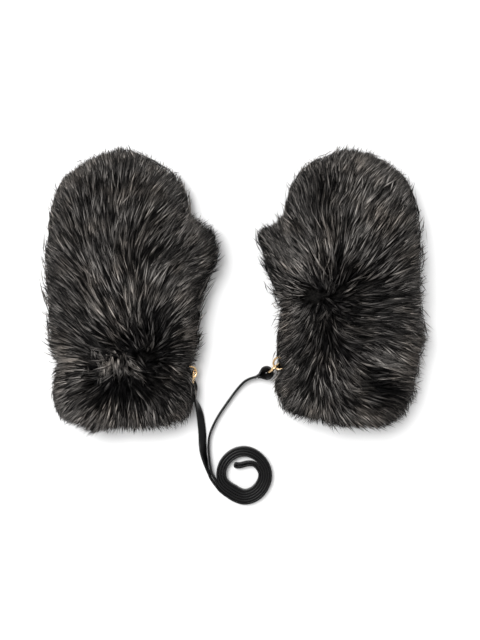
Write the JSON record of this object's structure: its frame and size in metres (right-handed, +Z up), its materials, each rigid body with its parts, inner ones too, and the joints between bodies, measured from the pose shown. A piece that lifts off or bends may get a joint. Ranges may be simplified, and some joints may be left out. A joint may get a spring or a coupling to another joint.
{
  "type": "pair of fur mittens",
  "caption": "Long-haired fur mittens lying palms down, joined by a narrow black leather strap that is clipped at the wrists and coiled between them.",
  "frame": {"origin": "middle of the two mittens' box, on the surface that they lie on", "axes": "+X from the left mitten to the right one, +Y towards the fingertips, +Z up, out of the backs of the hands"},
  "size_m": [0.388, 0.3654, 0.0678],
  "materials": {
    "fur": "matte long-haired dark charcoal fur",
    "leather": "black, soft sheen",
    "gold": "polished pale gold plating"
  },
  "bodies": {
    "root": {"left_hand_fur": "fur", "left_thumb_fur": "fur", "left_label": "leather", "left_tab": "leather", "left_ring": "gold", "left_snap_ring": "gold", "left_strap_loop": "leather", "strap_left_leg": "leather", "right_hand_fur": "fur", "right_thumb_fur": "fur", "right_label": "leather", "right_tab": "leather", "right_ring": "gold", "right_snap_ring": "gold", "right_strap_loop": "leather", "strap_right_leg": "leather", "strap_coil": "leather"}
  },
  "joints": []
}
